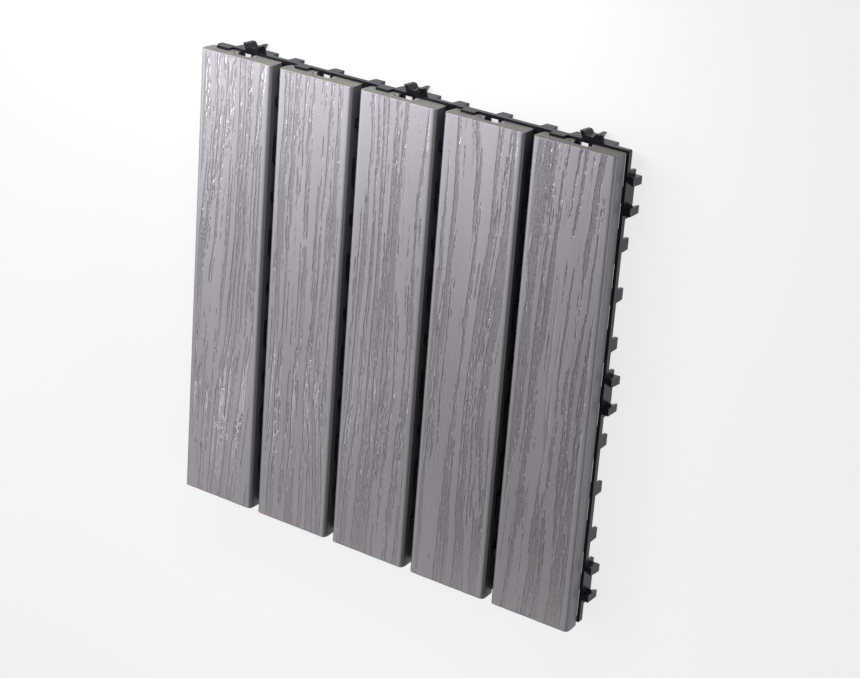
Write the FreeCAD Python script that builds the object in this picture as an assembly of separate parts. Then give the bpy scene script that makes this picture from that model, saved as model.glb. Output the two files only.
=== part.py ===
import FreeCAD, Part
import math
import os
from FreeCAD import Vector

# Interlocking deck tile, lying flat with its deck face up. Millimetres, +Z up.
# The origin is on the ground under the centre of the moulded base.

# Layout. Neighbouring tiles repeat at slat_count times slat_pitch in both directions.
# Rims stay rim_gap apart and slat ends slat_end_gap. The slats sit a little towards -X and -Y.
slat_count = 5
slat_pitch = 61.0
slat_gap = 5.6
slat_end_gap = 7.0
rim_gap = 7.8
slat_shift_x = 2.3
slat_shift_y = 2.0

# Slat section. A smooth curve through points of a quarter ellipse rounds its front edges. Its sides
# are upright down to side_upright_depth and lean inwards from there to the back.
slat_thickness = 12.0
edge_round_width = 3.0
edge_round_depth = 2.6
edge_round_steps = 4
side_upright_depth = 4.9
side_lean = 0.7
back_chamfer = 0.4

# T slot along the back of each slat.
slot_mouth_width = 12.0
slot_wing_width = 17.0
slot_lip_thickness = 2.2
slot_wing_height = 2.4
slot_recess_height = 2.2

# Moulded base: a lattice of ribs inside a rim, standing on feet.
base_height = 10.0
rib_height = 3.4
rib_thickness = 2.0
rim_thickness = 2.0
rim_corner_radius = 1.0
flange_thickness = 1.6
gap_strip_width = 12.0
foot_top_width = 8.2
foot_bottom_width = 7.0
wide_foot_width = 29.0
foot_overlap = 1.0

# Spacer tabs that stand up in the gaps between slats.
short_tab_length = 5.0
long_tab_length = 16.0
tab_shift = 2.3
tab_rise = 6.6
tab_clearance = 0.2

# Snap clips that hold each slat down by its slot.
clip_length = 16.0
clip_leg_thickness = 2.4
clip_clearance = 0.4
clip_barb_reach = 1.8
clip_barb_height = 1.8
clip_barb_face = 0.6
clip_tip_chamfer = 0.8
end_clip_setback = 3.0

# End stops at the +Y ends of the slats.
stop_width = 9.4
stop_rise = 4.5
stop_side_shift = 16.5

# Connectors on the four sides of the rim. A fishtail ends connector_engagement inside the mouth
# of the next tile's hooks.
connector_engagement = 1.0
connector_top_drop = 0.2
fishtail_tip_width = 13.5
fishtail_neck_width = 9.7
fishtail_prong_flat = 2.6
fishtail_notch_depth = 2.2
fishtail_notch_floor = 4.6
fishtail_neck_reach = 0.8
fishtail_waist_reach = 2.4
fishtail_waist_width = 11.0
fishtail_height = 8.8
socket_snap = 0.6
socket_clearance = 1.4
hook_outer_reach = 3.4
hook_height = 9.6
connector_draft = 0.5

tile_repeat = slat_count * slat_pitch
slat_width = slat_pitch - slat_gap
slat_length = tile_repeat - slat_end_gap
base_half = (tile_repeat - rim_gap) / 2
connector_reach = (rim_gap + connector_engagement) / 2
lattice = slat_pitch / 2
node_reach = int((base_half - rim_thickness) / lattice)
node_range = range(-node_reach, node_reach + 1)
rib_bottom = base_height - rib_height
slat_ends = (-slat_length / 2 - slat_shift_y, slat_length / 2 - slat_shift_y)
slat_centres = [(i - (slat_count - 1) / 2) * slat_pitch - slat_shift_x for i in range(slat_count)]
connector_places = [(i - (slat_count - 1) / 2) * slat_pitch for i in range(0, slat_count, 2)]
long_tab_nodes = [k for k in node_range if k % 2]


def block(low, high):
    """Box between two opposite corners."""
    size = [b - a for a, b in zip(low, high)]
    return Part.makeBox(size[0], size[1], size[2], Vector(*low))


def prism(points, direction):
    """Solid made by pushing a closed flat outline along a direction."""
    wire = Part.makePolygon(points + points[:1])
    return Part.Face(wire).extrude(direction)


def quarter_turned(shape, turns):
    """Copy turned about the vertical axis by a number of quarter turns."""
    turned = shape.copy()
    turned.rotate(Vector(0, 0, 0), Vector(0, 0, 1), 90 * turns)
    return turned


def slat_outline(centre):
    """Closed outline of a slat's section at its lower end, with the T slot in its back."""
    back = base_height
    front = base_height + slat_thickness
    half = slat_width / 2
    back_half = half - side_lean
    upright = front - side_upright_depth
    lip = back + slot_lip_thickness
    wing = lip + slot_wing_height
    recess = wing + slot_recess_height
    mouth_half = slot_mouth_width / 2
    wing_half = slot_wing_width / 2
    y = slat_ends[0]

    def at(x, z):
        return Vector(centre + x, y, z)

    edges = []
    half_slot = [(half, front - edge_round_depth), (half, upright), (back_half, back + back_chamfer),
                 (back_half - back_chamfer, back), (mouth_half, back), (mouth_half, lip), (wing_half, lip),
                 (wing_half, wing), (mouth_half, wing), (mouth_half, recess)]
    under = [at(x, z) for x, z in half_slot] + [at(-x, z) for x, z in reversed(half_slot)]
    for a, b in zip(under, under[1:]):
        edges.append(Part.makeLine(a, b))
    edges.append(rounded_edge(at, -1, half, front))
    edges.append(Part.makeLine(at(-half + edge_round_width, front), at(half - edge_round_width, front)))
    edges.append(rounded_edge(at, 1, half, front))
    return Part.Wire(Part.__sortEdges__(edges))


def rounded_edge(at, side, half, front):
    """Smooth curve from a slat's side to its deck face, through points of a quarter ellipse."""
    middle = at(side * (half - edge_round_width), front - edge_round_depth)
    stops = []
    for step in range(edge_round_steps + 1):
        angle = step * math.pi / 2 / edge_round_steps
        across = edge_round_width * math.cos(angle)
        up = edge_round_depth * math.sin(angle)
        stops.append(middle + Vector(side * across, 0, up))
    curve = Part.BSplineCurve()
    curve.interpolate(stops)
    return curve.toShape()


def slat(centre):
    """One solid composite slat."""
    return Part.Face(slat_outline(centre)).extrude(Vector(0, slat_length, 0))


def rim():
    """Upright wall round the base, with rounded corners."""
    outer = block((-base_half, -base_half, rib_bottom), (base_half, base_half, base_height))
    inner_half = base_half - rim_thickness
    inner = block((-inner_half, -inner_half, rib_bottom), (inner_half, inner_half, base_height))
    upright = [e for e in outer.Edges if abs(e.tangentAt(e.FirstParameter).z) > 0.9]
    return outer.makeFillet(rim_corner_radius, upright).cut(inner)


def ribs():
    """Lattice of upright ribs that joins the four walls of the rim."""
    reach = base_half - rim_thickness / 2
    half = rib_thickness / 2
    pieces = []
    for k in node_range:
        place = k * lattice
        pieces.append(block((-reach, place - half, rib_bottom), (reach, place + half, base_height)))
        pieces.append(block((place - half, -reach, rib_bottom), (place + half, reach, base_height)))
    return pieces


def tab_length(k):
    return long_tab_length if k in long_tab_nodes else short_tab_length


def flanges():
    """Flat top flange along each cross rib, wide enough to carry its spacer tabs."""
    reach = base_half - rim_thickness / 2
    under = base_height - flange_thickness
    pieces = []
    for k in node_range:
        half = tab_length(k) / 2 + tab_shift
        pieces.append(block((-reach, k * lattice - half, under), (reach, k * lattice + half, base_height)))
    return pieces


def gap_strips():
    """Flat strip that closes the bottom of each gap between slats."""
    reach = base_half - rim_thickness / 2
    under = base_height - flange_thickness
    half = gap_strip_width / 2
    pieces = []
    for left, right in zip(slat_centres, slat_centres[1:]):
        x = (left + right) / 2
        pieces.append(block((x - half, -reach, under), (x + half, reach, base_height)))
    return pieces


def fin(x, y, along_x, top_width, bottom_width, thickness=rib_thickness):
    """Foot fin that runs a little way up into a rib, reaches the ground and narrows downwards."""
    top = top_width / 2
    bottom = bottom_width / 2
    inside = rib_bottom + foot_overlap
    outline = [(-bottom, 0), (bottom, 0), (top, rib_bottom), (top, inside), (-top, inside),
               (-top, rib_bottom)]
    if along_x:
        points = [Vector(x + s, y - thickness / 2, z) for s, z in outline]
        return prism(points, Vector(0, thickness, 0))
    points = [Vector(x - thickness / 2, y + s, z) for s, z in outline]
    return prism(points, Vector(thickness, 0, 0))


def inner_feet():
    """Cross-shaped foot under every crossing of the lattice."""
    pieces = []
    for k in node_range:
        for m in node_range:
            x = k * lattice
            y = m * lattice
            pieces.append(fin(x, y, True, foot_top_width, foot_bottom_width))
            pieces.append(fin(x, y, False, foot_top_width, foot_bottom_width))
    return pieces


def rim_feet():
    """Feet in the plane of the rim: wide ones behind the connectors, narrow ones between."""
    line = base_half - rim_thickness / 2
    draft = foot_top_width - foot_bottom_width
    pieces = []
    for k in node_range:
        place = k * lattice
        wide = any(abs(place - c) < lattice / 2 for c in connector_places)
        top = wide_foot_width if wide else foot_top_width
        for side in (-line, line):
            pieces.append(fin(place, side, True, top, top - draft, rim_thickness))
            pieces.append(fin(side, place, False, top, top - draft, rim_thickness))
    return pieces


def tabs():
    """Spacer tabs that keep neighbouring slats apart."""
    width = slat_gap - 2 * tab_clearance
    pieces = []
    for left, right in zip(slat_centres, slat_centres[1:]):
        x = (left + right) / 2
        for k in node_range:
            y = k * lattice + tab_shift
            half = tab_length(k) / 2
            low = (x - width / 2, y - half, base_height - flange_thickness)
            high = (x + width / 2, y + half, base_height + tab_rise)
            pieces.append(block(low, high))
    return pieces


def clip_rows():
    """Places along a slat where clips stand: on the wide flanges and near both ends."""
    end = base_half - rim_thickness - end_clip_setback - clip_length / 2
    return [-end] + [k * lattice for k in long_tab_nodes] + [end]


def clip_leg(x, y, side):
    """Springy leg with a barb that hooks over a lip of the slot."""
    outer = slot_mouth_width / 2 - clip_clearance
    inner = outer - clip_leg_thickness
    catch = base_height + slot_lip_thickness
    top = catch + slot_wing_height + slot_recess_height - 2 * clip_clearance
    under = base_height - flange_thickness
    outline = [(inner, under), (outer, under), (outer, catch), (outer + clip_barb_reach, catch),
               (outer + clip_barb_reach, catch + clip_barb_face),
               (outer, catch + clip_barb_height), (outer - clip_tip_chamfer, top), (inner, top)]
    points = [Vector(x + side * s, y - clip_length / 2, z) for s, z in outline]
    return prism(points, Vector(0, clip_length, 0))


def clips():
    """Pairs of clip legs under every slat."""
    return [clip_leg(x, y, side) for x in slat_centres for y in clip_rows() for side in (-1, 1)]


def clip_pads():
    """Plates that carry the end clips, between the last cross rib and the rim."""
    under = base_height - flange_thickness
    near = node_reach * lattice
    far = base_half - rim_thickness / 2
    half = slot_wing_width / 2
    pieces = []
    for x in slat_centres:
        pieces.append(block((x - half, near, under), (x + half, far, base_height)))
        pieces.append(block((x - half, -far, under), (x + half, -near, base_height)))
    return pieces


def clip_windows():
    """Openings through the base between the two legs of each clip. The end ones reach the rim."""
    half = slot_mouth_width / 2 - clip_clearance - clip_leg_thickness
    rows = clip_rows()
    pieces = []
    for x in slat_centres:
        for y in rows:
            before = clip_length / 2 + (end_clip_setback if y == rows[0] else 0)
            after = clip_length / 2 + (end_clip_setback if y == rows[-1] else 0)
            low = (x - half, y - before, base_height - flange_thickness)
            high = (x + half, y + after, base_height)
            pieces.append(block(low, high))
    return pieces


def end_stops():
    """Small blocks that stand on the rim against the +Y end of each slat."""
    pieces = []
    for centre in slat_centres:
        x = centre - stop_side_shift
        low = (x - stop_width / 2, slat_ends[1], rib_bottom)
        high = (x + stop_width / 2, base_half, base_height + stop_rise)
        pieces.append(block(low, high))
    return pieces


def drafted(points, bottom, top):
    """Solid between two levels whose outline draws in towards place 0 lower down."""
    reach = max(abs(v) for v, u in points)
    shrink = (reach - connector_draft) / reach
    upper = Part.makePolygon([Vector(v, u, top) for v, u in points + points[:1]])
    lower = Part.makePolygon([Vector(v * shrink, u, bottom) for v, u in points + points[:1]])
    return Part.makeLoft([lower, upper], True, True)


def fishtail(place):
    """Forked tongue on the +Y side: narrow neck, two splayed prongs and a notch between them."""
    root = base_half - rim_thickness / 2
    tip = base_half + connector_reach
    floor = tip - fishtail_notch_depth
    neck = fishtail_neck_width / 2
    half = fishtail_tip_width / 2
    side = [(neck, root), (neck, base_half + fishtail_neck_reach)]
    side.append((fishtail_waist_width / 2, base_half + fishtail_waist_reach))
    side += [(half, tip), (half - fishtail_prong_flat, tip), (fishtail_notch_floor / 2, floor)]
    outline = side + [(-v, u) for v, u in reversed(side)]
    top = base_height - connector_top_drop
    piece = drafted(outline, top - fishtail_height, top)
    piece.translate(Vector(place, 0, 0))
    return piece


def hook_pair(place):
    """Two facing hooks on the +Y side that take a fishtail between them."""
    root = base_half - rim_thickness / 2
    tip = base_half + connector_reach
    mouth = (fishtail_tip_width - socket_snap) / 2
    throat = fishtail_tip_width / 2 + socket_clearance
    outer = throat + hook_outer_reach
    top = base_height - connector_top_drop
    hook = [(throat, root), (throat, base_half), (mouth, tip), (outer, tip), (outer, root)]
    pieces = []
    for side in (-1, 1):
        outline = [(side * v, u) for v, u in hook]
        piece = drafted(outline, top - hook_height, top)
        piece.translate(Vector(place, 0, 0))
        pieces.append(piece)
    return pieces


def connectors():
    """Fishtails on the +Y and -X sides, hook pairs on the +X and -Y sides."""
    tails = [fishtail(place) for place in connector_places]
    hooks = [hook for place in connector_places for hook in hook_pair(place)]
    pieces = [quarter_turned(tail, turns) for tail in tails for turns in (0, 1)]
    return pieces + [quarter_turned(hook, turns) for hook in hooks for turns in (2, 3)]


def base_grid():
    """The whole base, moulded in one piece."""
    body = rim().multiFuse(ribs() + flanges() + gap_strips() + clip_pads())
    body = body.cut(Part.makeCompound(clip_windows()))
    body = body.multiFuse(inner_feet() + rim_feet())
    body = body.multiFuse(tabs() + clips() + end_stops() + connectors())
    return body.removeSplitter()


def save(name, shape):
    solids = shape.Solids
    whole = solids[0] if len(solids) == 1 else Part.makeCompound(solids)
    whole.exportStep("parts/" + name + ".step")
    print(name, len(solids), "solid", round(whole.Volume / 1000, 2), "cm3", whole.isValid())


os.makedirs("parts", exist_ok=True)
save("base_grid", base_grid())
for number, centre in enumerate(slat_centres, 1):
    save("slat_" + str(number), slat(centre))
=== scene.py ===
import math

import bpy
import numpy as np
from mathutils import Matrix, Vector


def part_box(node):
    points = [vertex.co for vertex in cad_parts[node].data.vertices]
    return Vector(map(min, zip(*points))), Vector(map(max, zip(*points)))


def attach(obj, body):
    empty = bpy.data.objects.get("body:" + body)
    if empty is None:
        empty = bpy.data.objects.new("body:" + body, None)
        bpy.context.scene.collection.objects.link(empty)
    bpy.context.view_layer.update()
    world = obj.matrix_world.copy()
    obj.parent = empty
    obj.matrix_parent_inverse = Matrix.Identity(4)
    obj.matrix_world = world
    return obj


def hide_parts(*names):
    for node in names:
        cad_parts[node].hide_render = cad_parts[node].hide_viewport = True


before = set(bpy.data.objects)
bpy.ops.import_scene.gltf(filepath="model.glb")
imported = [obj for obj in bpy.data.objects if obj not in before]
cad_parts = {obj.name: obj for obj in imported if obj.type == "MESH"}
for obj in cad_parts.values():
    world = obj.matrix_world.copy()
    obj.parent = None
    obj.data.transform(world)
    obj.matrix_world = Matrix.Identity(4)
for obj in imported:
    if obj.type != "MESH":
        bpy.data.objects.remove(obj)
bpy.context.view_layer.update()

MM = 0.001

# Slat section, in millimetres.
EDGE_ROUND_WIDTH = 3.0
EDGE_ROUND_DEPTH = 2.6
SIDE_UPRIGHT_DEPTH = 4.9
SIDE_LEAN = 0.7
BACK_CHAMFER = 0.4
SLOT_MOUTH_WIDTH = 12.0
SLOT_WING_WIDTH = 17.0
SLOT_LIP_THICKNESS = 2.2
SLOT_WING_HEIGHT = 2.4
SLOT_RECESS_HEIGHT = 2.2

# Slat mesh: points across the deck face, steps round each deck edge, and points along the slat.
DECK_COLUMNS = 144
ROUND_STEPS = 7
ROWS = 440

# Grain: its greatest depth, and the width over which it fades out beside the deck edges, in millimetres.
GRAIN_DEPTH = 0.24
GRAIN_FADE = 1.6
# Width scale, lean and painted shade of the grain's bands on each slat, from slat 1 to slat 5. The painted
# shade scales the bands' darkness to stand in for the contrast that the light gives each slat.
GRAIN_STYLES = (
    (0.85, 0.030, 0.82),
    (0.90, 0.012, 0.92),
    (0.95, 0.012, 1.0),
    (1.0, 0.030, 1.12),
    (1.1, 0.045, 1.2),
)
# Share of that painted shade at the -Y and the +Y end of every slat. The grain is painted darker towards
# +Y as a stand-in for the stronger contrast that the light gives it there.
PAINTED_SHADE_ENDS = (0.56, 1.14)
# The random draws of slat 1 start from the seed after this one, and so on up to slat 5.
GRAIN_SEED = 40

# Steps of the grain's noises across and along the slat, in millimetres. Across the slat, those of swell,
# broad, split, shred and thread are stretched by the slat's width scale.
DRIFT_STEP = (50, 120)
SWAY_STEP = (12, 30)
SWELL_STEP = (13, 170)
BROAD_STEP = (3.2, 150)
SPLIT_STEP = (1.25, 70)
SHRED_STEP = (0.8, 16)
NOTCH_STEP = (0.6, 2.6)
FIBRE_STEP = (0.5, 5.0)
CRUMB_STEP = (0.45, 1.3)
THREAD_STEP = (2.1, 260)
GATE_STEP = (5, 26)
PATCH_STEP = (4, 24)

# Course of the bands: reach of drift and sway in millimetres, and the swell's repeat and wander.
DRIFT_REACH = 9.0
SWAY_REACH = 1.6
SWELL_REPEAT = 5.7
SWELL_WANDER = 1.9
# Shares of swell, broad, split, shred and notch in the level that sets where a band lies.
LEVEL_SHARES = (0.12, 0.38, 0.25, 0.16, 0.09)
# Share of the deck face that stays outside the bands.
FIELD_SHARE = 0.58
# Levels over which a band begins, below and above its bar, and the reach of the painted shade line along
# its edge.
BAND_BELOW = 0.012
BAND_ABOVE = 0.016
EDGE_REACH = 0.026
# A hairline is full and has faded out where its noise is this far from the middle.
HAIR_CORE = 0.006
HAIR_REACH = 0.040
# Ranges of noise over which hairlines and the painted shade lines along the edges come up.
GATE_RANGE = (0.42, 0.60)
PATCH_RANGE = (0.35, 0.75)
# Depth of a band, with its fibre and crumb, and of a hairline, as shares of the grain's depth.
BAND_DEPTH = 0.45
FIBRE_DEPTH = 0.30
CRUMB_DEPTH = 0.25
HAIR_DEPTH = 0.50
# Darkness of the same, and of the painted shade line along a band's edge, which stands for the shade on
# the band's wall.
BAND_DARKNESS = 0.38
FIBRE_DARKNESS = 0.30
CRUMB_DARKNESS = 0.20
HAIR_DARKNESS = 0.42
EDGE_PAINTED_SHADE = 0.08
PATCH_PAINTED_SHADE = 0.50

# Colours, as sRGB values from 0 to 255. A pair is mixed by a noise.
FIELD_COLOURS = ((167, 159, 165), (177, 169, 175))
SPECK_COLOUR = (146, 140, 146)
# The grain's dark colour is also the colour of its painted shade.
GRAIN_AND_PAINTED_SHADE_COLOUR = (97, 90, 95)
# The side colours are painted shade and painted reflection: darker and less violet than the deck face, for
# faces that turn away from the light and the bluish surround.
SIDE_COLOURS_WITH_PAINTED_SHADE = ((103, 101, 106), (89, 87, 92))
CORE_COLOURS = ((124, 119, 113), (136, 130, 124))
FLOUR_COLOUR = (94, 88, 82)
PLASTIC_COLOURS = ((20, 20, 25), (29, 29, 35))

# Shine off the composite and the plastic, and the slightly blue tint of the plastic's.
SHINE = 0.45
PLASTIC_SHINE_TINT = (0.78, 0.84, 1.0, 1.0)

# Floor: half its side in metres, grey, roughness, share of plain glow, and the strength of that glow where
# a glossy face mirrors it.
FLOOR_REACH = 6.0
FLOOR_GREY = (0.86, 0.86, 0.86, 1.0)
FLOOR_ROUGHNESS = 0.9
FLOOR_GLOW_SHARE = 0.78
FLOOR_GLOW_MIRRORED = 0.7
# Strength of the white world as the object's light, and as the camera sees it.
WORLD_LIGHT = 0.045
WORLD_SEEN = 1.0

WHITE = (1.0, 1.0, 1.0)
COOL_WHITE = (0.93, 0.965, 1.0)
PALE_COOL_WHITE = (0.95, 0.97, 1.0)
# Lamps: name, place, aim, and width and height, in metres, then power in watts and colour.
LAMPS = (
    ("key", (-0.64, 0.24, 0.46), (-0.08, 0.10, 0.0), (0.30, 0.30), 0.82, COOL_WHITE),
    ("end", (-0.11, 0.25, 0.165), (-0.11, 0.10, 0.0), (0.46, 0.08), 0.96, COOL_WHITE),
    ("glint", (-0.76, -0.07, 0.50), (-0.10, 0.12, 0.0), (0.16, 0.16), 2.1, PALE_COOL_WHITE),
    ("foot", (0.04, -0.32, 0.22), (0.04, -0.12, 0.0), (0.50, 0.10), 0.26, WHITE),
    ("side", (0.85, -0.05, 0.03), (0.15, 0.0, 0.012), (0.7, 0.06), 2.7, WHITE),
    ("edge", (1.40, -0.25, 0.32), (0.0, -0.05, 0.02), (0.6, 0.12), 4.2, WHITE),
    ("low", (-0.51, -0.345, 0.505), (-0.11, -0.07, 0.0), (0.12, 0.12), 0.42, WHITE),
)

# Camera, solved from the photo's straight edges. The tilt is the tile's turn about the camera's axes, in
# degrees. The place is in metres, and the lens and sensor are in millimetres.
CAMERA_TILT = (21.667, -33.439, -4.400)
CAMERA_PLACE = (0.7510, 0.5234, 1.1084)
CAMERA_LENS = 97.87
CAMERA_SENSOR = 36.0


# Noise

def smooth_step(t):
    """Soft ramp from 0 to 1 for values from 0 to 1."""
    return t * t * (3 - 2 * t)


def step_up(value, low, high):
    """Soft ramp from 0 at low to 1 at high."""
    return smooth_step(np.clip((value - low) / (high - low), 0, 1))


def lattice_noise(rng, across, along, step):
    """Smooth noise from 0 to 1 at the given points, with its lattice a step apart across and along."""
    a = across / step[0]
    b = along / step[1]
    a = a - a.min()
    b = b - b.min()
    grid = rng.random((int(a.max()) + 2, int(b.max()) + 2))
    i = a.astype(int)
    j = b.astype(int)
    f = smooth_step(a - i)
    g = smooth_step(b - j)
    low = grid[i, j] * (1 - f) + grid[i + 1, j] * f
    high = grid[i, j + 1] * (1 - f) + grid[i + 1, j + 1] * f
    return low * (1 - g) + high * g


def band_level(rng, line, across, along):
    """Height field whose upper part is the grain's bands. The line is the place across their course."""
    beat = line / SWELL_REPEAT + SWELL_WANDER * lattice_noise(rng, line, along, SWELL_STEP)
    swell = 0.5 + 0.5 * np.cos(2 * math.pi * beat)
    broad = lattice_noise(rng, line, along, BROAD_STEP)
    split = lattice_noise(rng, line, along, SPLIT_STEP)
    shred = lattice_noise(rng, line, along, SHRED_STEP)
    notch = lattice_noise(rng, across, along, NOTCH_STEP)
    return sum(share * noise for share, noise in zip(LEVEL_SHARES, (swell, broad, split, shred, notch)))


def grain_field(seed, width, lean, across, along):
    """Depth and darkness of the grain, with painted shade along the bands' edges, both 0 to 1, at points
    of the deck in millimetres.
    """
    rng = np.random.default_rng(seed)
    drift = DRIFT_REACH * (lattice_noise(rng, across, along, DRIFT_STEP) - 0.5)
    sway = SWAY_REACH * (lattice_noise(rng, across, along, SWAY_STEP) - 0.5)
    line = (across - lean * along + drift + sway) / width

    level = band_level(rng, line, across, along)
    bar = np.quantile(level, FIELD_SHARE)
    band = step_up(level, bar - BAND_BELOW, bar + BAND_ABOVE)
    # Painted shade: a dark line along each band's edge, standing for the shade on the band's wall.
    edge = 1 - step_up(np.abs(level - bar), 0.0, EDGE_REACH)

    fibre = lattice_noise(rng, across, along, FIBRE_STEP)
    crumb = lattice_noise(rng, across, along, CRUMB_STEP)
    thread = np.abs(lattice_noise(rng, line, along, THREAD_STEP) - 0.5)
    gate = step_up(lattice_noise(rng, across, along, GATE_STEP), *GATE_RANGE)
    hair = (1 - step_up(thread, HAIR_CORE, HAIR_REACH)) * gate * (1 - band)
    patch = step_up(lattice_noise(rng, across, along, PATCH_STEP), *PATCH_RANGE)

    deep = band * (BAND_DEPTH + FIBRE_DEPTH * fibre + CRUMB_DEPTH * crumb) + HAIR_DEPTH * hair
    dark = band * (BAND_DARKNESS + FIBRE_DARKNESS * fibre + CRUMB_DARKNESS * crumb)
    # The darkness of the line along each band's edge is painted shade.
    dark = dark + edge * (EDGE_PAINTED_SHADE + PATCH_PAINTED_SHADE * patch) + HAIR_DARKNESS * hair
    return np.clip(deep, 0, 1), np.clip(dark, 0, 1)


# Slats

def section(low, high):
    """Closed outline of a slat's section in metres: the deck face, then on round by the +X side."""
    half = (high.x - low.x) / 2 / MM
    middle = (high.x + low.x) / 2 / MM
    back = low.z / MM
    front = high.z / MM
    flat = half - EDGE_ROUND_WIDTH
    deck = [(x, front) for x in np.linspace(-flat, flat, DECK_COLUMNS)]
    right = []
    for step in range(1, ROUND_STEPS + 1):
        angle = math.pi / 2 * step / ROUND_STEPS
        across = flat + EDGE_ROUND_WIDTH * math.sin(angle)
        right.append((across, front - EDGE_ROUND_DEPTH * (1 - math.cos(angle))))
    lip = back + SLOT_LIP_THICKNESS
    wing = lip + SLOT_WING_HEIGHT
    recess = wing + SLOT_RECESS_HEIGHT
    mouth_half = SLOT_MOUTH_WIDTH / 2
    wing_half = SLOT_WING_WIDTH / 2
    foot = half - SIDE_LEAN
    under = [(half, front - SIDE_UPRIGHT_DEPTH), (foot, back + BACK_CHAMFER), (foot - BACK_CHAMFER, back),
             (mouth_half, back), (mouth_half, lip), (wing_half, lip), (wing_half, wing),
             (mouth_half, wing), (mouth_half, recess)]
    mirrored = [(-x, z) for x, z in reversed(right + under)]
    outline = deck + right + under + mirrored
    return np.array([((middle + x) * MM, z * MM) for x, z in outline])


def slat_mesh(name, points, grain_and_painted_shade):
    """Mesh of a slat from its grid of points, with closed ends and the grain's darkness, painted shade
    included, in it.
    """
    count = len(points)
    index = np.arange(count * ROWS).reshape(count, ROWS)
    after = np.roll(index, -1, axis=0)
    quads = np.stack([index[:, :-1], index[:, 1:], after[:, 1:], after[:, :-1]], axis=-1).reshape(-1, 4)
    caps = [index[:, 0].tolist(), index[::-1, -1].tolist()]
    mesh = bpy.data.meshes.new(name)
    mesh.from_pydata(points.reshape(-1, 3).tolist(), [], quads.tolist() + caps)
    mesh.update()

    strip = np.repeat(np.arange(count), ROWS - 1)
    smooth = (strip < DECK_COLUMNS + ROUND_STEPS - 1) | (strip >= count - ROUND_STEPS)
    mesh.polygons.foreach_set("use_smooth", np.append(smooth, [False, False]))
    # The skin is the first material and the bare core at the two ends is the second.
    mesh.polygons.foreach_set("material_index", np.append(np.zeros(len(quads), int), [1, 1]))
    # This layer holds the grain's darkness together with its painted shade.
    layer = mesh.attributes.new("grain_and_painted_shade", "FLOAT", "POINT")
    layer.data.foreach_set("value", grain_and_painted_shade.reshape(-1).astype(np.float32))
    return mesh


def grained_slat(node, seed, width, lean, painted_shade):
    """One slat in the form of its CAD node, with the grain cut into its deck face."""
    low, high = (Vector(corner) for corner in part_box(node))
    outline = section(low, high)
    count = len(outline)
    rows = np.linspace(low.y, high.y, ROWS)
    points = np.empty((count, ROWS, 3))
    points[:, :, 0] = outline[:, 0:1]
    points[:, :, 1] = rows[None, :]
    points[:, :, 2] = outline[:, 1:2]

    across = np.repeat((outline[:DECK_COLUMNS, 0:1] - low.x) / MM, ROWS, axis=1)
    along = np.repeat((rows[None, :] - low.y) / MM, DECK_COLUMNS, axis=0)
    deep, dark = grain_field(seed, width, lean, across, along)
    from_edge = np.minimum(across - across.min(), across.max() - across)
    fade = step_up(from_edge, 0, GRAIN_FADE)
    points[:DECK_COLUMNS, :, 2] -= deep * fade * GRAIN_DEPTH * MM
    grain_and_painted_shade = np.zeros((count, ROWS))
    # Painted shade: the grain's darkness is scaled per slat and rises towards the +Y end, where the light
    # gives the grain more contrast.
    grain_and_painted_shade[:DECK_COLUMNS] = dark * fade * painted_shade * np.linspace(*PAINTED_SHADE_ENDS, ROWS)

    name = node + "_grained"
    piece = bpy.data.objects.new(name, slat_mesh(name, points, grain_and_painted_shade))
    bpy.context.scene.collection.objects.link(piece)
    return piece


# Materials

def srgb(colour):
    """Linear colour of an sRGB colour given in 0 to 255."""
    parts = []
    for value in colour:
        v = value / 255
        parts.append(v / 12.92 if v <= 0.04045 else ((v + 0.055) / 1.055) ** 2.4)
    return (*parts, 1.0)


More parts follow.
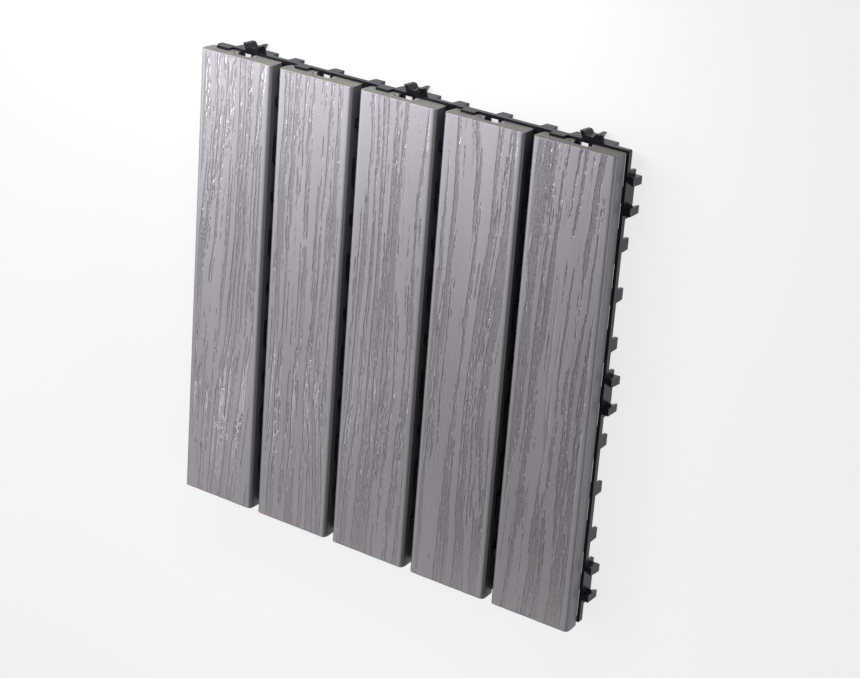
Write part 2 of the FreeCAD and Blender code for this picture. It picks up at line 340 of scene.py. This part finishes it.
class Graph:
    """Node tree of a material or world, with short ways to add the nodes that are used here."""

    def __init__(self, owner):
        owner.use_nodes = True
        self.nodes = owner.node_tree.nodes
        self.links = owner.node_tree.links

    def noise(self, place, stretch, scale, detail, roughness=0.5):
        """Noise texture in row-frame metres, with its own stretch along each axis."""
        mapping = self.nodes.new("ShaderNodeMapping")
        mapping.inputs["Scale"].default_value = stretch
        self.links.new(place, mapping.inputs["Vector"])
        texture = self.nodes.new("ShaderNodeTexNoise")
        texture.inputs["Scale"].default_value = scale
        texture.inputs["Detail"].default_value = detail
        texture.inputs["Roughness"].default_value = roughness
        self.links.new(mapping.outputs["Vector"], texture.inputs["Vector"])
        return texture.outputs["Fac"]

    def span(self, value, source, target):
        """Straight map of one range of a value to another, held inside the second."""
        node = self.nodes.new("ShaderNodeMapRange")
        node.inputs["From Min"].default_value = source[0]
        node.inputs["From Max"].default_value = source[1]
        node.inputs["To Min"].default_value = target[0]
        node.inputs["To Max"].default_value = target[1]
        self.links.new(value, node.inputs["Value"])
        return node.outputs["Result"]

    def combine(self, mode, first, second):
        """Two values added or multiplied, held between 0 and 1."""
        node = self.nodes.new("ShaderNodeMath")
        node.operation = mode
        node.use_clamp = True
        self.links.new(first, node.inputs[0])
        self.links.new(second, node.inputs[1])
        return node.outputs[0]

    def tint(self, fac, first, second):
        """Colour between two linear colours or colour outputs."""
        node = self.nodes.new("ShaderNodeMix")
        node.data_type = "RGBA"
        self.links.new(fac, node.inputs["Factor"])
        for name, colour in (("A", first), ("B", second)):
            socket = [s for s in node.inputs if s.name == name and s.type == "RGBA"][0]
            if isinstance(colour, tuple):
                socket.default_value = colour
            else:
                self.links.new(colour, socket)
        return [s for s in node.outputs if s.type == "RGBA"][0]

    def bump(self, height, distance, strength, before=None):
        """Normal with a bump of the given depth in metres, on top of an earlier one where there is one."""
        node = self.nodes.new("ShaderNodeBump")
        node.inputs["Distance"].default_value = distance
        node.inputs["Strength"].default_value = strength
        self.links.new(height, node.inputs["Height"])
        if before is not None:
            self.links.new(before, node.inputs["Normal"])
        return node.outputs["Normal"]

    def output(self, kind, name):
        """One output of a new node of the given kind."""
        return self.nodes.new(kind).outputs[name]


def new_material(name):
    """New material with its graph and its main shader."""
    material = bpy.data.materials.new(name)
    graph = Graph(material)
    return material, graph, graph.nodes["Principled BSDF"]


def face_turn(graph):
    """How far a face looks up, as its own normal's Z."""
    parts = graph.nodes.new("ShaderNodeSeparateXYZ")
    graph.links.new(graph.output("ShaderNodeNewGeometry", "True Normal"), parts.inputs["Vector"])
    return parts.outputs["Z"]


def cap_material():
    """Grey composite skin with a pressed wood grain that carries painted shade. Its sides are painted
    darker and a little less violet, as painted shade and painted reflection.
    """
    material, graph, shader = new_material("composite_cap")
    place = graph.output("ShaderNodeTexCoord", "Object")
    attribute = graph.nodes.new("ShaderNodeAttribute")
    attribute.attribute_name = "grain_and_painted_shade"
    grain_and_painted_shade = attribute.outputs["Fac"]
    fibre = graph.noise(place, (1.0, 0.07, 1.0), scale=1500, detail=3)
    pores = graph.noise(place, (1.0, 0.45, 1.0), scale=1900, detail=2, roughness=0.6)
    broad = graph.noise(place, (1.0, 0.12, 1.0), scale=55, detail=3)
    speckle = graph.noise(place, (1.0, 1.0, 1.0), scale=2200, detail=1)
    ridges = graph.noise(place, (1.0, 0.14, 1.0), scale=1000, detail=2)

    # The grain layer carries painted shade as well as the grain, and so do the darkenings made from it.
    fibre_and_painted_shade = graph.combine("MULTIPLY", grain_and_painted_shade, graph.span(fibre, (0.36, 0.66), (0.0, 0.18)))
    pores_and_painted_shade = graph.combine("MULTIPLY", grain_and_painted_shade, graph.span(pores, (0.46, 0.60), (0.0, 0.44)))
    dark = graph.combine("ADD", graph.span(grain_and_painted_shade, (0.0, 1.0), (0.0, 0.25)), fibre_and_painted_shade)
    dark = graph.combine("ADD", dark, pores_and_painted_shade)
    field = graph.tint(graph.span(broad, (0.3, 0.7), (0.0, 1.0)), *map(srgb, FIELD_COLOURS))
    speck = graph.tint(graph.span(speckle, (0.35, 0.75), (0.0, 0.26)), field, srgb(SPECK_COLOUR))
    top = graph.tint(dark, speck, srgb(GRAIN_AND_PAINTED_SHADE_COLOUR))
    # Painted shade and painted reflection: faces that turn away from straight up take the darker, less
    # violet side colour.
    side = graph.tint(graph.span(speckle, (0.35, 0.75), (0.0, 0.3)), *map(srgb, SIDE_COLOURS_WITH_PAINTED_SHADE))
    painted_side_shade = graph.span(face_turn(graph), (0.80, 0.98), (0.0, 1.0))
    graph.links.new(graph.tint(painted_side_shade, side, top), shader.inputs["Base Color"])

    graph.links.new(graph.span(grain_and_painted_shade, (0.0, 0.45), (0.42, 0.12)), shader.inputs["Roughness"])
    pebbled = graph.bump(speckle, distance=0.00009, strength=0.42)
    inside = graph.combine("MULTIPLY", grain_and_painted_shade, ridges)
    ridged = graph.bump(inside, distance=0.00026, strength=1.0, before=pebbled)
    graph.links.new(ridged, shader.inputs["Normal"])
    shader.inputs["Specular IOR Level"].default_value = SHINE
    return material


def core_material():
    """Bare beige-grey core of the composite, with fine wood flour in it."""
    material, graph, shader = new_material("composite_core")
    place = graph.output("ShaderNodeTexCoord", "Object")
    flour = graph.noise(place, (1.0, 1.0, 1.0), scale=1300, detail=3, roughness=0.65)
    cloud = graph.noise(place, (1.0, 1.0, 1.6), scale=160, detail=2)
    plain = graph.tint(graph.span(cloud, (0.3, 0.7), (0.0, 1.0)), *map(srgb, CORE_COLOURS))
    floury = graph.tint(graph.span(flour, (0.45, 0.75), (0.0, 0.7)), plain, srgb(FLOUR_COLOUR))
    graph.links.new(floury, shader.inputs["Base Color"])
    graph.links.new(graph.span(flour, (0.3, 0.7), (0.72, 0.88)), shader.inputs["Roughness"])
    graph.links.new(graph.bump(flour, distance=0.0002, strength=0.5), shader.inputs["Normal"])
    return material


def plastic_material():
    """Black moulded plastic with a fine satin texture and a little rubbed dust."""
    material, graph, shader = new_material("moulded_black_plastic")
    place = graph.output("ShaderNodeTexCoord", "Object")
    satin = graph.noise(place, (1.0, 1.0, 1.0), scale=1700, detail=2)
    cloud = graph.noise(place, (1.0, 1.0, 1.0), scale=90, detail=4)
    flow = graph.noise(place, (0.3, 1.0, 1.0), scale=320, detail=3)
    dusty = graph.tint(graph.span(cloud, (0.4, 0.75), (0.0, 1.0)), *map(srgb, PLASTIC_COLOURS))
    graph.links.new(dusty, shader.inputs["Base Color"])
    graph.links.new(graph.span(flow, (0.3, 0.7), (0.18, 0.30)), shader.inputs["Roughness"])
    graph.links.new(graph.bump(satin, distance=0.00006, strength=0.35), shader.inputs["Normal"])
    shader.inputs["Specular IOR Level"].default_value = SHINE
    shader.inputs["Specular Tint"].default_value = PLASTIC_SHINE_TINT
    return material


# Floor, lamps and camera

def floor_material():
    """Pale floor that takes the object's shadow, with a share of plain glow that keeps it white."""
    material, graph, shader = new_material("pale_floor")
    shader.inputs["Base Color"].default_value = FLOOR_GREY
    shader.inputs["Roughness"].default_value = FLOOR_ROUGHNESS
    shader.inputs["Specular IOR Level"].default_value = 0.0
    glow = graph.nodes.new("ShaderNodeEmission")
    glow.inputs["Color"].default_value = (*WHITE, 1.0)
    path = graph.nodes.new("ShaderNodeLightPath")
    mirrored = path.outputs["Is Glossy Ray"]
    graph.links.new(graph.span(mirrored, (0, 1), (1.0, FLOOR_GLOW_MIRRORED)), glow.inputs["Strength"])
    seen = graph.span(path.outputs["Is Camera Ray"], (0, 1), (0, FLOOR_GLOW_SHARE))
    through = graph.span(path.outputs["Is Transmission Ray"], (0, 1), (0, FLOOR_GLOW_SHARE))
    share = graph.combine("ADD", graph.combine("ADD", seen, through), mirrored)
    mix = graph.nodes.new("ShaderNodeMixShader")
    graph.links.new(share, mix.inputs["Fac"])
    graph.links.new(shader.outputs[0], mix.inputs[1])
    graph.links.new(glow.outputs[0], mix.inputs[2])
    graph.links.new(mix.outputs[0], graph.nodes["Material Output"].inputs["Surface"])
    return material


def add_floor():
    """Square floor at the feet's soles."""
    mesh = bpy.data.meshes.new("floor")
    reach = FLOOR_REACH
    corners = [(-reach, -reach, 0), (reach, -reach, 0), (reach, reach, 0), (-reach, reach, 0)]
    mesh.from_pydata(corners, [], [(0, 1, 2, 3)])
    mesh.materials.append(floor_material())
    floor = bpy.data.objects.new("floor", mesh)
    bpy.context.scene.collection.objects.link(floor)


def add_lamp(name, place, aim, size, power, colour):
    """Rectangular lamp with its face towards the point it is aimed at."""
    data = bpy.data.lights.new(name, "AREA")
    data.shape = "RECTANGLE"
    data.size, data.size_y = size
    data.energy = power
    data.color = colour
    lamp = bpy.data.objects.new(name, data)
    lamp.location = place
    direction = Vector(aim) - Vector(place)
    lamp.rotation_euler = direction.to_track_quat("-Z", "Y").to_euler()
    bpy.context.scene.collection.objects.link(lamp)


def add_world():
    """White world, dim as a light and full white to the camera."""
    world = bpy.data.worlds.new("studio")
    bpy.context.scene.world = world
    graph = Graph(world)
    background = graph.nodes["Background"]
    background.inputs["Color"].default_value = (*WHITE, 1.0)
    seen = graph.output("ShaderNodeLightPath", "Is Camera Ray")
    graph.links.new(graph.span(seen, (0, 1), (WORLD_LIGHT, WORLD_SEEN)), background.inputs["Strength"])


def add_camera():
    """Camera in the photo's place."""
    turn_x, turn_y, turn_z = (math.radians(angle) for angle in CAMERA_TILT)
    tilt = Matrix.Rotation(turn_z, 3, "Z") @ Matrix.Rotation(turn_x, 3, "X")
    tilt = tilt @ Matrix.Rotation(turn_y, 3, "Y")
    data = bpy.data.cameras.new("camera")
    data.lens = CAMERA_LENS
    data.sensor_width = CAMERA_SENSOR
    camera = bpy.data.objects.new("camera", data)
    camera.matrix_world = Matrix.Translation(CAMERA_PLACE) @ tilt.transposed().to_4x4()
    bpy.context.scene.collection.objects.link(camera)
    bpy.context.scene.camera = camera


# Scene

bpy.context.scene.view_settings.view_transform = "Standard"
add_camera()
add_floor()
add_world()
for lamp in LAMPS:
    add_lamp(*lamp)

cap = cap_material()
core = core_material()
for number, (width, lean, painted_shade) in enumerate(GRAIN_STYLES, start=1):
    node = "slat_" + str(number)
    piece = grained_slat(node, GRAIN_SEED + number, width, lean, painted_shade)
    piece.data.materials.append(cap)
    piece.data.materials.append(core)
    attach(piece, "root")
    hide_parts(node)

plastic = plastic_material()
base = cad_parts["base_grid"]
for slot in base.material_slots:
    slot.material = plastic
